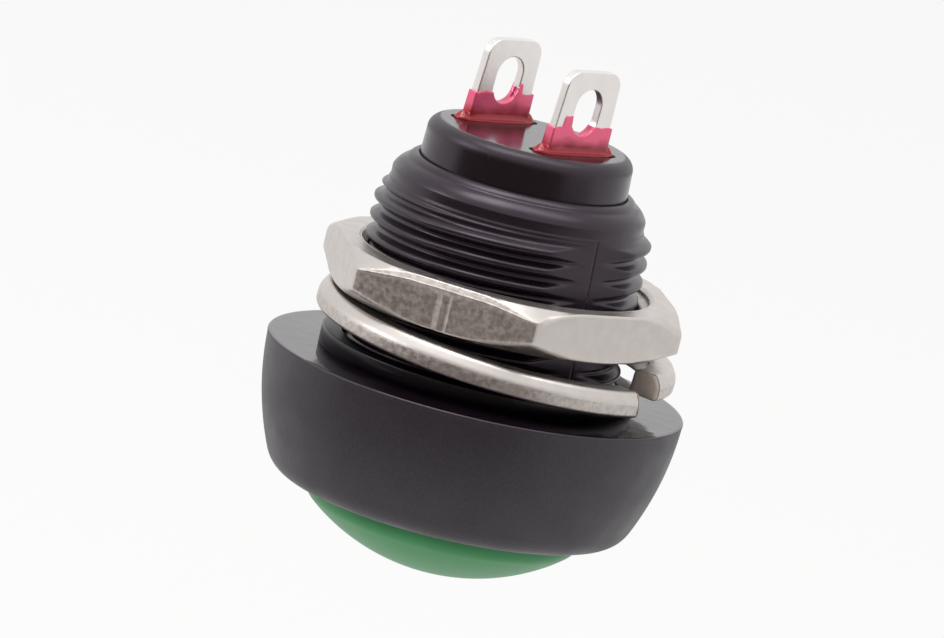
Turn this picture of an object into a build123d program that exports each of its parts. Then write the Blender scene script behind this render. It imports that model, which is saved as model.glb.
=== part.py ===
from build123d import *
from math import cos, radians, sin, sqrt, tan
import os

# A sealed, momentary pushbutton for a 12 mm panel hole, with one pair of normally open contacts.
# Frame: the origin is the centre of the bezel's seating face, where the panel lies. +Z runs along
# the axis to the terminals, so the button's dome points to -Z. Lengths are in millimetres.

# Travel
PRESS_TRAVEL = 1.60          # how far the button goes in
CONTACT_GAP = 1.00           # from the resting contact disc to the fixed contacts

# Fits
SLIDE_FIT = 0.08             # radial, button and stem in their guides
SEAL_FIT = 0.03              # radial, rubber on the stem and in its gland
ASSEMBLY_FIT = 0.02          # radial, pieces put together once
THREAD_FIT = 0.04            # radial, nut on the bush
REST_GAP = 0.05              # axial, between pieces that only meet at rest

WIRE_SIDES = 8               # round wire and cord are drawn with this many sides

# Bezel, seen from the front as a turned dish with a flat seating face behind
SEAT_R = 9.00
BEZEL_SIDE_R = 7.88          # where the side's curve meets the nose's curve
BEZEL_SIDE_Z = -5.00
BEZEL_SIDE_BULGE = 0.245
BEZEL_NOSE_R = 6.70
BEZEL_NOSE_Z = -5.77
BEZEL_NOSE_BULGE = 0.216
RIM_Z = -5.945
RIM_CHAMFER = 0.10
WELL_FLOOR_Z = -1.90

# Threaded bush behind the seating face
THREAD_R = 5.92              # over the crests
THREAD_PITCH = 0.794
THREAD_DEPTH = 0.39
THREAD_CREST = 0.13          # width of the flat on the crest
THREAD_ROOT = 0.13           # width of the flat in the root
THREAD_START_Z = 1.04        # middle of the groove where it begins, on the +X side
THREAD_END_Z = 7.20
THREAD_LEAD_IN = 0.35
FLAT_DEPTH = 0.42            # flats on the mould's parting lines, just deeper than the thread
PARTING_ANGLE = 311.5
SHOULDER_STEP = 0.47
LIP_START_Z = 7.95
LIP_Z = 8.77                 # end of the lip that is rolled in over the base
LIP_EDGE_R = 4.64
LIP_BULGE = 0.06

# Chamber inside the bush
CHAMBER_R = 4.30
CHAMBER_FLOOR_Z = 1.70
LEDGE_Z = 6.50

# Button cap
CAP_R = 5.91
DOME_R = 8.907
DOME_APEX_Z = -8.63
CAP_WALL = 1.15
SKIRT_END_Z = -3.90
SKIRT_EDGE = 0.12
SOCKET_WALL = 0.90
SOCKET_END_Z = -3.75

# Plunger
STEM_R = 1.75
SPIGOT_R = 1.50
SPIGOT_DEPTH = 2.10
COLLAR_R = 2.40
COLLAR_T = 0.80
TAIL_R = 0.90
TAIL_PROUD = 0.35            # tail beyond the disc retainer

# Stem seal
SEAL_CORD = 1.00
GLAND_LENGTH = 1.10
SEAL_RETAINER_T = 0.50
SEAL_RETAINER_R = 3.40

# Moving contact
DISC_R = 3.85
DISC_T = 0.30
DISC_RETAINER_R = 1.45
DISC_RETAINER_T = 0.35
CONTACT_WIRE = 0.25
CONTACT_SPRING_R = 1.40      # to the middle of the wire
CONTACT_TURNS = 3.5

# Fixed contacts
CONTACT_HEAD_R = 0.62
CONTACT_HEAD_T = 0.35
CONTACT_CROWN = 0.10
CONTACT_SHANK_R = 0.35
CONTACT_OFFSET = 3.15        # from the axis

# Return spring
RETURN_WIRE = 0.28
RETURN_SPRING_R = 1.15
RETURN_TURNS = 4.5
SPRING_WELL_R = 1.65
SPRING_WELL_DEPTH = 1.90

# Rear base
BASE_FLANGE_R = 4.70
BASE_BOSS_R = 4.47
BASE_TOP_R = 4.42
BASE_TOP_Z = 10.45
BASE_EDGE = 0.55
BASE_GASKET_T = 0.30
FLANGE_TOP_Z = 8.15

# Terminals: two blades face to face, turned about the axis
TERMINAL_TURN = -43.6        # from +X to the direction that the right blade faces
BLADE_OFFSET = 2.43          # from the axis to the middle of the blade
BLADE_T = 0.40
BLADE_REACH = 3.60           # from the base's top to the blade's tip
BLADE_FOOT_WIDTH = 3.36
BLADE_TOP_WIDTH = 3.02
BLADE_CORNER = 0.65
BLADE_LEAN = 3.0             # both blades are bent over a little, the same way
LUG_SLOT_WIDTH = 1.50
LUG_SLOT_LENGTH = 2.10
LUG_SLOT_FROM_TIP = 1.80     # from the blade's tip to the middle of the slot
TERMINAL_FOOT_WIDTH = 2.60
TERMINAL_FOOT_END = 3.86
TERMINAL_BEND = 0.40

# Resin round the terminals
WELL_LENGTH = 4.70
WELL_WIDTH = 0.95
WELL_DEPTH = 0.50
RESIN_LENGTH = 4.10
RESIN_PROUD = 0.06
RESIN_FILM = 0.07
RESIN_CLIMB = 1.20           # how far the film goes up the blade

# Panel hardware
GASKET_T = 0.72
GASKET_WIDTH = 0.82
GASKET_FIT = 0.06
WASHER_FIT = 0.54            # radial, round the thread when it lies on centre
WASHER_WIDTH = 1.30
WASHER_T = 1.08
WASHER_EDGE = 0.25
WASHER_THREAD_GAP = 0.08     # the washer lies off centre, this near the thread on one side
WASHER_RISE = 0.70           # from one end of the ring to the other
WASHER_START = 328.0         # angle of its lower end
WASHER_GAP = 7.4             # degrees between its ends
WASHER_TILT = 2.8
WASHER_LOW_Z = 0.60          # underside at the lower end
NUT_SHIFT = 0.22             # the loose nut hangs off centre, against the thread on one side
NUT_WALL = 0.92              # from the bore to the middle of a flat
NUT_T = 2.10
NUT_Z = 2.68
NUT_TURN = 42.15             # angle of a corner
NUT_FRONT_LAND = -0.05       # how far past the flats the flat front face reaches
NUT_REAR_LAND = 0.21         # how far past the flats the flat rear face reaches
NUT_CHAMFER = 30.0
NUT_BORE_CHAMFER = 0.10
NUT_SCORE_WIDTH = 0.45       # shallow groove down the middle of one flat
NUT_SCORE_DEPTH = 0.08

# Places that follow from the sizes above
WELL_R = CAP_R + 0.10
THREAD_FLAT_R = THREAD_R - FLAT_DEPTH
SHOULDER_R = THREAD_R - SHOULDER_STEP
SHOULDER_Z = THREAD_END_Z + THREAD_LEAD_IN
BORE_R = STEM_R + SLIDE_FIT
GLAND_R = STEM_R + SEAL_CORD + 2 * SEAL_FIT
SEAL_RETAINER_Z = CHAMBER_FLOOR_Z - SEAL_RETAINER_T
GLAND_Z = SEAL_RETAINER_Z - GLAND_LENGTH
DOME_CENTRE_Z = DOME_APEX_Z + DOME_R
SPIGOT_Z = SOCKET_END_Z - SPIGOT_DEPTH
COLLAR_Z = CHAMBER_FLOOR_Z + REST_GAP
COLLAR_TOP_Z = COLLAR_Z + COLLAR_T
BASE_GASKET_Z = LEDGE_Z
BASE_Z = BASE_GASKET_Z + BASE_GASKET_T
FOOT_Z = BASE_Z - BLADE_T
CONTACT_FACE_Z = FOOT_Z - CONTACT_HEAD_T
DISC_TOP_Z = CONTACT_FACE_Z - CONTACT_GAP
DISC_Z = DISC_TOP_Z - DISC_T
DISC_RETAINER_Z = DISC_TOP_Z + ASSEMBLY_FIT
DISC_RETAINER_TOP_Z = DISC_RETAINER_Z + DISC_RETAINER_T
TAIL_END_Z = DISC_RETAINER_TOP_Z + TAIL_PROUD
SPRING_WELL_TOP_Z = BASE_Z + SPRING_WELL_DEPTH
BASE_BORE_R = BASE_FLANGE_R
LIP_R = BASE_BOSS_R + ASSEMBLY_FIT
BLADE_TOP_Z = BASE_TOP_Z + BLADE_REACH
LUG_SLOT_Z = BLADE_TOP_Z - LUG_SLOT_FROM_TIP
RESIN_TOP_Z = BASE_TOP_Z + RESIN_CLIMB
GASKET_BORE_R = THREAD_R + GASKET_FIT
WASHER_MIDDLE_R = THREAD_R + WASHER_FIT + WASHER_WIDTH / 2
WASHER_SHIFT = WASHER_FIT - WASHER_THREAD_GAP
NUT_BORE_R = THREAD_R + NUT_SHIFT + THREAD_FIT
NUT_FLAT_R = NUT_BORE_R + NUT_WALL
NUT_CORNER_R = NUT_FLAT_R * 2 / sqrt(3)


def turned(*edges):
    """Turns a closed outline, drawn as (radius, height), about the Z axis."""
    return revolve(Plane.XZ * make_face(Curve() + list(edges)), Axis.Z)


def ring(inner, outer, low, high):
    """A plain flat ring, or a disc where inner is 0."""
    shape = Pos(0, 0, low) * extrude(Circle(outer), high - low)
    if inner > 0:
        shape -= Pos(0, 0, low) * extrude(Circle(inner), high - low)
    return shape


def bulged(start, end, bulge):
    """An arc from start to end that stands out by bulge on the side away from the axis."""
    middle = ((start[0] + end[0]) / 2, (start[1] + end[1]) / 2)
    run = (end[0] - start[0], end[1] - start[1])
    length = sqrt(run[0] ** 2 + run[1] ** 2)
    out = (abs(run[1]) / length * bulge, abs(run[0]) / length * bulge * (1 if middle[1] > 0 else -1))
    return ThreePointArc(start, (middle[0] + out[0], middle[1] + out[1]), end)


def thread_groove():
    """The V groove of the right-hand thread, and its run-out over the shoulder, which lies deeper."""
    path = Helix(pitch=THREAD_PITCH, height=LIP_START_Z - THREAD_START_Z, radius=THREAD_R)
    root = THREAD_ROOT / 2
    slope = ((THREAD_PITCH - THREAD_CREST) / 2 - root) / THREAD_DEPTH
    outside = THREAD_CREST / 3
    mouth = root + slope * (THREAD_DEPTH + outside)
    outline = Polyline(
        (outside, -mouth),
        (outside, mouth),
        (-THREAD_DEPTH, root),
        (-THREAD_DEPTH, -root),
        close=True,
    )
    section = Plane(origin=path @ 0, x_dir=(1, 0, 0), z_dir=path % 0) * make_face(outline)
    return Pos(0, 0, THREAD_START_Z) * sweep(section, path=path, is_frenet=True)


def beyond_flat(angle):
    """Everything outside the flat on one of the mould's parting lines, along the thread."""
    block = Box(THREAD_R, 2 * THREAD_R, SHOULDER_Z, align=(Align.MIN, Align.CENTER, Align.MIN))
    return Rot(0, 0, angle) * Pos(THREAD_FLAT_R, 0, 0) * block


def bezel_bushing():
    """Bezel, bush and rolled lip, one moulding: turned inside and out, with its thread and flats."""
    nose = (BEZEL_NOSE_R, BEZEL_NOSE_Z)
    side = (BEZEL_SIDE_R, BEZEL_SIDE_Z)
    seat = (SEAT_R, 0)
    lip_start = (SHOULDER_R, LIP_START_Z)
    lip_end = (LIP_EDGE_R, LIP_Z)
    rear = Polyline(seat, (THREAD_R, 0), (THREAD_R, THREAD_END_Z), (SHOULDER_R, SHOULDER_Z), lip_start)
    inside = Polyline(
        lip_end,
        (LIP_R, LIP_Z),
        (LIP_R, FLANGE_TOP_Z),
        (BASE_BORE_R, FLANGE_TOP_Z),
        (BASE_BORE_R, LEDGE_Z),
        (CHAMBER_R, LEDGE_Z),
        (CHAMBER_R, CHAMBER_FLOOR_Z),
        (SEAL_RETAINER_R, CHAMBER_FLOOR_Z),
        (SEAL_RETAINER_R, SEAL_RETAINER_Z),
        (GLAND_R, SEAL_RETAINER_Z),
        (GLAND_R, GLAND_Z),
        (BORE_R, GLAND_Z),
        (BORE_R, WELL_FLOOR_Z),
        (WELL_R, WELL_FLOOR_Z),
        (WELL_R, RIM_Z + RIM_CHAMFER),
        (WELL_R + RIM_CHAMFER, RIM_Z),
        nose,
    )
    body = turned(
        bulged(nose, side, BEZEL_NOSE_BULGE),
        bulged(side, seat, BEZEL_SIDE_BULGE),
        rear,
        bulged(lip_start, lip_end, LIP_BULGE),
        inside,
    )
    for angle in (PARTING_ANGLE, PARTING_ANGLE + 180):
        body -= beyond_flat(angle)
    return body - thread_groove()


def on_dome(radius, sphere_r):
    """The point (radius, height) on a sphere of the dome's centre."""
    return (radius, DOME_CENTRE_Z - sqrt(sphere_r**2 - radius**2))


def button_cap():
    """Domed cap: a shell with a skirt that runs in the bezel and a socket for the stem."""
    inner_r = CAP_R - CAP_WALL
    inner_dome_r = DOME_R - CAP_WALL
    socket_r = SPIGOT_R + SOCKET_WALL
    bore_r = SPIGOT_R + ASSEMBLY_FIT
    roof_z = SPIGOT_Z - ASSEMBLY_FIT
    outline = Curve() + [
        ThreePointArc(on_dome(0, DOME_R), on_dome(CAP_R / 2, DOME_R), on_dome(CAP_R, DOME_R)),
        Polyline(
            on_dome(CAP_R, DOME_R),
            (CAP_R, SKIRT_END_Z),
            (inner_r, SKIRT_END_Z),
            on_dome(inner_r, inner_dome_r),
        ),
        ThreePointArc(
            on_dome(inner_r, inner_dome_r),
            on_dome((inner_r + socket_r) / 2, inner_dome_r),
            on_dome(socket_r, inner_dome_r),
        ),
        Polyline(
            on_dome(socket_r, inner_dome_r),
            (socket_r, SOCKET_END_Z),
            (bore_r, SOCKET_END_Z),
            (bore_r, roof_z),
            (0, roof_z),
            on_dome(0, DOME_R),
        ),
    ]
    face = make_face(outline)
    dome_edge = face.vertices().filter_by_position(Axis.X, CAP_R - 0.01, CAP_R + 0.01).sort_by(Axis.Y)[0]
    face = fillet(dome_edge, SKIRT_EDGE)
    return revolve(Plane.XZ * face, Axis.Z)


def plunger():
    """Turned stem: spigot for the cap, sealing length, stop collar and a thin tail."""
    return turned(
        Polyline(
            (0, SPIGOT_Z),
            (SPIGOT_R, SPIGOT_Z),
            (SPIGOT_R, SOCKET_END_Z),
            (STEM_R, SOCKET_END_Z),
            (STEM_R, COLLAR_Z),
            (COLLAR_R, COLLAR_Z),
            (COLLAR_R, COLLAR_TOP_Z),
            (TAIL_R, COLLAR_TOP_Z),
            (TAIL_R, TAIL_END_Z),
            (0, TAIL_END_Z),
            close=True,
        )
    )


def plunger_seal():
    """O-ring in the gland round the stem."""
    middle_r = STEM_R + SEAL_FIT + SEAL_CORD / 2
    cord = Pos(middle_r, GLAND_Z + GLAND_LENGTH / 2) * RegularPolygon(SEAL_CORD / 2, WIRE_SIDES)
    return revolve(Plane.XZ * cord, Axis.Z)


def seal_retainer():
    """Flat ring pressed in over the gland, where the stem's collar comes to rest."""
    return ring(BORE_R, SEAL_RETAINER_R - ASSEMBLY_FIT, SEAL_RETAINER_Z, CHAMBER_FLOOR_Z)


def coil(radius, wire, turns, low, high):
    """Wire wound at one radius, its whole coil between the heights low and high."""
    height = high - low - wire
    path = Helix(pitch=height / turns, height=height, radius=radius)
    section = Plane(origin=path @ 0, z_dir=path % 0) * RegularPolygon(wire / 2, WIRE_SIDES)
    return Pos(0, 0, low + wire / 2) * sweep(section, path=path, is_frenet=True)


def contact_spring():
    """Loads the contact disc against its retainer, and gives way once the contacts meet."""
    return coil(CONTACT_SPRING_R, CONTACT_WIRE, CONTACT_TURNS, COLLAR_TOP_Z + REST_GAP, DISC_Z - REST_GAP)


def return_spring():
    """Stands in the base's well and pushes the stem out by its retainer."""
    return coil(
        RETURN_SPRING_R,
        RETURN_WIRE,
        RETURN_TURNS,
        DISC_RETAINER_TOP_Z + REST_GAP,
        SPRING_WELL_TOP_Z - REST_GAP,
    )


def contact_disc():
    """Moving contact, a plain round disc that slides on the stem's tail."""
    return ring(TAIL_R + REST_GAP, DISC_R, DISC_Z, DISC_TOP_Z)


def disc_retainer():
    """Push-on collar that keeps the disc on the tail and carries the return spring."""
    return ring(TAIL_R + ASSEMBLY_FIT, DISC_RETAINER_R, DISC_RETAINER_Z, DISC_RETAINER_TOP_Z)


def base_gasket():
    """Flat ring between the bush's ledge and the base."""
    return ring(CHAMBER_R, BASE_FLANGE_R - ASSEMBLY_FIT, BASE_GASKET_Z, BASE_Z)


def turned_to_terminals(shape):
    """Puts a shape drawn with its blades along X at the terminals' real turn."""
    return Rot(0, 0, TERMINAL_TURN) * shape


def stadium(offset, length, width, low, high):
    """An upright slot with round ends, its length along Y, at offset along X."""
    outline = SlotOverall(length, width, rotation=90)
    return Pos(offset, 0, low) * extrude(outline, high - low)


def lean_shift(z):
    """How far a blade's lean carries it along +X at height z."""
    return max(0.0, z - BASE_TOP_Z) * tan(radians(BLADE_LEAN))


def blade_front(width_margin):
    """The blade seen square on, as a plate across X that is wider than the strip is thick."""
    foot = BLADE_FOOT_WIDTH / 2 + width_margin
    top = BLADE_TOP_WIDTH / 2 + width_margin
    inner = TERMINAL_FOOT_WIDTH / 2
    outline = Polyline(
        (-inner, FOOT_Z),
        (inner, FOOT_Z),
        (inner, BASE_Z),
        (foot, BASE_Z),
        (foot, BASE_TOP_Z),
        (top, BLADE_TOP_Z),
        (-top, BLADE_TOP_Z),
        (-foot, BASE_TOP_Z),
        (-foot, BASE_Z),
        (-inner, BASE_Z),
        close=True,
    )
    face = make_face(outline)
    face = fillet(face.vertices().sort_by(Axis.Y)[-2:], BLADE_CORNER)
    return extrude(Plane.YZ * face, 2 * SEAT_R, both=True)


def blade_strip(side, margin):
    """The strip seen edge on: inner foot, bend, straight shank and leaning blade."""
    near = side * (BLADE_OFFSET - BLADE_T / 2)
    far = side * (BLADE_OFFSET + BLADE_T / 2)
    tip = lean_shift(BLADE_TOP_Z)
    inner = near - side * margin
    outer = far + side * margin
    outline = Polyline(
        (inner, FOOT_Z),
        (side * TERMINAL_FOOT_END, FOOT_Z),
        (side * TERMINAL_FOOT_END, BASE_Z),
        (outer, BASE_Z),
        (outer, BASE_TOP_Z),
        (outer + tip, BLADE_TOP_Z),
        (inner + tip, BLADE_TOP_Z),
        (inner, BASE_TOP_Z),
        close=True,
    )
    face = make_face(outline)
    heel = face.vertices().sort_by(Axis.Y)[:2].sort_by(lambda v: abs(v.X))[0]
    face = fillet(heel, TERMINAL_BEND)
    return extrude(Plane.XZ * face, BLADE_FOOT_WIDTH, both=True)


def lug_slot():
    """The solder slot, a hole with round ends through both blades."""
    outline = Pos(0, LUG_SLOT_Z) * SlotOverall(LUG_SLOT_LENGTH, LUG_SLOT_WIDTH, rotation=90)
    return extrude(Plane.YZ * outline, 2 * SEAT_R, both=True)


def terminal(side):
    """A terminal stamped and bent from strip; side is 1 on the right and -1 on the left."""
    blank = (blade_strip(side, 0) & blade_front(0)) - lug_slot()
    rivet_hole = Pos(side * CONTACT_OFFSET, 0, 0) * ring(0, CONTACT_SHANK_R + ASSEMBLY_FIT, FOOT_Z, BASE_Z)
    return turned_to_terminals(blank - rivet_hole)


def fixed_contact(side):
    """Contact rivet with a low crown, set in the terminal's foot."""
    crown_edge = CONTACT_FACE_Z + CONTACT_CROWN
    rivet = turned(
        ThreePointArc((0, CONTACT_FACE_Z), (CONTACT_HEAD_R / 2, CONTACT_FACE_Z + CONTACT_CROWN / 4),
                      (CONTACT_HEAD_R, crown_edge)),
        Polyline(
            (CONTACT_HEAD_R, crown_edge),
            (CONTACT_HEAD_R, FOOT_Z),
            (CONTACT_SHANK_R, FOOT_Z),
            (CONTACT_SHANK_R, BASE_Z),
            (0, BASE_Z),
            (0, CONTACT_FACE_Z),
        ),
    )
    return turned_to_terminals(Pos(side * CONTACT_OFFSET, 0, 0) * rivet)


def terminal_base():
    """Rear base: a flange held by the bush's lip, and a boss with a slot and a resin well per blade."""
    body = turned(
        Polyline(
            (0, BASE_Z),
            (BASE_FLANGE_R - ASSEMBLY_FIT, BASE_Z),
            (BASE_FLANGE_R - ASSEMBLY_FIT, FLANGE_TOP_Z),
            (BASE_BOSS_R, FLANGE_TOP_Z),
            (BASE_BOSS_R, LIP_Z),
            (BASE_TOP_R, BASE_TOP_Z),
            (0, BASE_TOP_Z),
            close=True,
        )
    )
    body = fillet(body.edges().filter_by(GeomType.CIRCLE).sort_by(Axis.Z)[-1], BASE_EDGE)
    body -= ring(0, SPRING_WELL_R, BASE_Z, SPRING_WELL_TOP_Z)
    slot = Box(BLADE_T + 2 * ASSEMBLY_FIT, BLADE_FOOT_WIDTH + 2 * ASSEMBLY_FIT, 4 * BASE_TOP_Z)
    for side in (1, -1):
        body -= turned_to_terminals(Pos(side * BLADE_OFFSET, 0, 0) * slot)
        well = stadium(side * BLADE_OFFSET, WELL_LENGTH, WELL_WIDTH, BASE_TOP_Z - WELL_DEPTH, LIP_Z + BASE_TOP_Z)
        body -= turned_to_terminals(well)
    return body


def sealant(side):
    """Resin poured in the well round a blade, and its film up the blade's foot."""
    pool = stadium(
        side * BLADE_OFFSET,
        RESIN_LENGTH,
        WELL_WIDTH,
        BASE_TOP_Z - WELL_DEPTH,
        BASE_TOP_Z + RESIN_PROUD,
    )
    wet = blade_strip(side, RESIN_FILM) & blade_front(RESIN_FILM)
    film = wet & ring(0, SEAT_R, BASE_TOP_Z, RESIN_TOP_Z)
    resin = (pool + film) - (blade_strip(side, 0) & blade_front(0)) - lug_slot()
    return turned_to_terminals(resin)


def panel_gasket():
    """Flat rubber ring on the seating face."""
    return ring(GASKET_BORE_R, GASKET_BORE_R + GASKET_WIDTH, 0, GASKET_T)


def lock_washer():
    """Split spring washer: one left-hand turn of eased strip, tilted where it lies on the thread."""
    turn = (360 - WASHER_GAP) / 360
    path = Helix(pitch=WASHER_RISE, height=WASHER_RISE * turn, radius=WASHER_MIDDLE_R, lefthand=True)
    strip_end = Rectangle(WASHER_WIDTH, WASHER_T)
    outline = chamfer(strip_end.vertices(), WASHER_EDGE)
    section = Plane(origin=path @ 0, x_dir=(1, 0, 0), z_dir=path % 0) * outline
    strip = sweep(section, path=path, is_frenet=True)
    lowered = WASHER_MIDDLE_R * cos(radians(WASHER_START)) * tan(radians(WASHER_TILT))
    centre_z = WASHER_LOW_Z + WASHER_T / 2 + lowered
    return Pos(WASHER_SHIFT, 0, centre_z) * Rot(0, WASHER_TILT, 0) * Rot(0, 0, WASHER_START) * strip


def hex_nut():
    """Thin hexagon nut, chamfered on both faces, with a plain bore just outside the thread."""
    slope = tan(radians(NUT_CHAMFER))
    front_r = NUT_FLAT_R + NUT_FRONT_LAND
    rear_r = NUT_FLAT_R + NUT_REAR_LAND
    front = (NUT_CORNER_R - front_r) * slope
    rear = (NUT_CORNER_R - rear_r) * slope
    top = NUT_Z + NUT_T
    blank = turned(
        Polyline(
            (NUT_BORE_R + NUT_BORE_CHAMFER, NUT_Z),
            (front_r, NUT_Z),
            (NUT_CORNER_R, NUT_Z + front),
            (NUT_CORNER_R, top - rear),
            (rear_r, top),
            (NUT_BORE_R + NUT_BORE_CHAMFER, top),
            (NUT_BORE_R, top - NUT_BORE_CHAMFER),
            (NUT_BORE_R, NUT_Z + NUT_BORE_CHAMFER),
            close=True,
        )
    )
    bar = Pos(0, 0, NUT_Z) * extrude(RegularPolygon(NUT_CORNER_R, 6), NUT_T)
    score = Box(2 * NUT_SCORE_DEPTH, NUT_SCORE_WIDTH, 2 * NUT_T)
    flat = Rot(0, 0, 30 + 180) * Pos(NUT_FLAT_R, 0, NUT_Z + NUT_T / 2)
    return Pos(NUT_SHIFT, 0, 0) * Rot(0, 0, NUT_TURN) * ((blank & bar) - flat * score)


def main():
    """Writes one STEP file per piece."""
    parts = {
        "bezel_bushing": bezel_bushing(),
        "button_cap": button_cap(),
        "plunger": plunger(),
        "plunger_seal": plunger_seal(),
        "seal_retainer": seal_retainer(),
        "contact_disc": contact_disc(),
        "contact_spring": contact_spring(),
        "disc_retainer": disc_retainer(),
        "return_spring": return_spring(),
        "base_gasket": base_gasket(),
        "terminal_base": terminal_base(),
        "panel_gasket": panel_gasket(),
        "lock_washer": lock_washer(),
        "hex_nut": hex_nut(),
    }
    for name, side in (("right", 1), ("left", -1)):
        parts["terminal_" + name] = terminal(side)
        parts["fixed_contact_" + name] = fixed_contact(side)
        parts["sealant_" + name] = sealant(side)
    os.makedirs("parts", exist_ok=True)
    for name, shape in parts.items():
        export_step(shape, "parts/" + name + ".step")


main()
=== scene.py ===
import bmesh
import bpy
import numpy as np
from mathutils import Matrix


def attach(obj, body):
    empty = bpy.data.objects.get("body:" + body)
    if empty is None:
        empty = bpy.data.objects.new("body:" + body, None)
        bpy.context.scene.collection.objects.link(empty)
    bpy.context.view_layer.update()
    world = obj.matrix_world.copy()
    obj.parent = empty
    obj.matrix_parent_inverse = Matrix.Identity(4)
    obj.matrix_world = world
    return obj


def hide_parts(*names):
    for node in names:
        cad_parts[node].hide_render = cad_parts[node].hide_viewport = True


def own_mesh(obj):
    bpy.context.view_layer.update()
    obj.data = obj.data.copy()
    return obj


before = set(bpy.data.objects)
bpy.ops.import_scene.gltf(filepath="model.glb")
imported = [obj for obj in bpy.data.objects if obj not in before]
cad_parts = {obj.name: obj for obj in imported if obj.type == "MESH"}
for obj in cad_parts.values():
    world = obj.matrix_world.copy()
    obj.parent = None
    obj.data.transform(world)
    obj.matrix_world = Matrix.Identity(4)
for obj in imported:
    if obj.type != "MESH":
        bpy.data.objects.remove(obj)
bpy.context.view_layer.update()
scene = bpy.context.scene

# ------------------------------------------------------------------
# Camera. A long lens looks at the switch from its terminals' side, a little above the level of
# the panel, and is rolled so that the switch's axis leans to the right.
# Lengths are in millimetres until a mesh, a lamp or the camera is placed.
MM = 0.001
CAMERA_LIFT = np.radians(11.30)
CAMERA_ROLL = np.radians(13.50)
CAMERA_REACH = 394.4
VIEW_ASIDE = 0.168
VIEW_BELOW = -2.297
LENS = 357.0

level = np.array([1.0, 0.0, 0.0])
climb = np.array([0.0, np.sin(CAMERA_LIFT), np.cos(CAMERA_LIFT)])
toward_camera = np.array([0.0, -np.cos(CAMERA_LIFT), np.sin(CAMERA_LIFT)])
across = level * np.cos(CAMERA_ROLL) + climb * np.sin(CAMERA_ROLL)
upward = climb * np.cos(CAMERA_ROLL) - level * np.sin(CAMERA_ROLL)
station = toward_camera * CAMERA_REACH - across * VIEW_ASIDE - upward * VIEW_BELOW


def stand(thing, side, upward, back, place):
    """Puts an object in the scene with its X, Y and Z axes along these three, and at this place."""
    placed = np.eye(4)
    placed[:3] = np.column_stack([side, upward, back, np.array(place) * MM])
    thing.matrix_world = Matrix(placed.tolist())
    scene.collection.objects.link(thing)


camera = bpy.data.objects.new("camera", bpy.data.cameras.new("camera"))
camera.data.lens = LENS
camera.data.clip_start = 0.01
camera.data.clip_end = 50
stand(camera, across, upward, toward_camera, station)
scene.camera = camera

# ------------------------------------------------------------------
# Studio. A white tent all round, a pale floor well below the switch, a broad lamp overhead and a
# weaker one at the left. A curved grey card stands in front, out of the camera's sight, and only
# darkens what the plated and glossy faces mirror. Its ends thin out, so that its image is soft.
FLOOR_Z = -48.0
FLOOR_R = 4000.0
TENT_LEVEL = 0.52
CARD_R = 70.0
CARD_HEIGHTS = np.array([-42.0, -13.0, -8.0, -5.0, 1.5, 3.5, 24.0])
CARD_START = np.radians(184)
CARD_ENDS = np.radians([310, 310, 318, 356, 356, 322, 318])  # a tongue at the right
CARD_FADE = 0.22  # share of its half length


def linear(code):
    """A colour written as sRGB hex, turned to linear light."""
    channels = np.array([int(code[i : i + 2], 16) for i in (0, 2, 4)]) / 255
    light = np.where(channels <= 0.04045, channels / 12.92, ((channels + 0.055) / 1.055) ** 2.4)
    return (*light.tolist(), 1.0)


def add(tree, kind, feeds=None, output=0, **settings):
    """Adds a node and gives back one of its outputs, if it has any. settings are its own properties;
    feeds gives its sockets a value or a link."""
    node = tree.nodes.new(kind)
    for name, value in settings.items():
        setattr(node, name, value)
    for socket, value in (feeds or {}).items():
        if isinstance(value, bpy.types.NodeSocket):
            tree.links.new(value, node.inputs[socket])
        else:
            node.inputs[socket].default_value = value
    return node.outputs[output] if node.outputs else None


def blank_material(name):
    """A material with an empty node tree."""
    material = bpy.data.materials.new(name)
    material.use_nodes = True
    material.node_tree.nodes.clear()
    return material


def seen_directly(tree):
    """1 on camera, mirror and glass rays, which see the plain white background, and 0 on others."""
    seen = 0.0
    for kind in ("Is Camera Ray", "Is Glossy Ray", "Is Transmission Ray"):
        ray = add(tree, "ShaderNodeLightPath", output=kind)
        seen = add(tree, "ShaderNodeMath", {0: seen, 1: ray}, operation="MAXIMUM")
    return seen


def sheet(name, points, faces, material):
    """A thin sheet of these faces, linked into the scene."""
    mesh = bpy.data.meshes.new(name)
    mesh.from_pydata((points.reshape(-1, 3) * MM).tolist(), [], faces)
    mesh.materials.append(material)
    piece = bpy.data.objects.new(name, mesh)
    scene.collection.objects.link(piece)
    return piece


# Painted board, matt and nearly white; seen directly it is as white as the tent, less its shadow.
board = blank_material("floor_white_painted_board")
tree = board.node_tree
paint = add(tree, "ShaderNodeBsdfDiffuse", {"Color": linear("f2f1ef")})
glow = add(tree, "ShaderNodeEmission", {"Color": (1, 1, 1, 1), "Strength": 1.0})
share = add(tree, "ShaderNodeMath", {0: seen_directly(tree), 1: 0.85}, operation="MULTIPLY")
mixed = add(tree, "ShaderNodeMixShader", {0: share, 1: paint, 2: glow})
add(tree, "ShaderNodeOutputMaterial", {"Surface": mixed})
turn = np.linspace(0, 2 * np.pi, 64, endpoint=False)
rim = np.stack([FLOOR_R * np.cos(turn), FLOOR_R * np.sin(turn), np.full(64, FLOOR_Z)], -1)
sheet("floor", rim, [list(range(64))], board)

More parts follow.
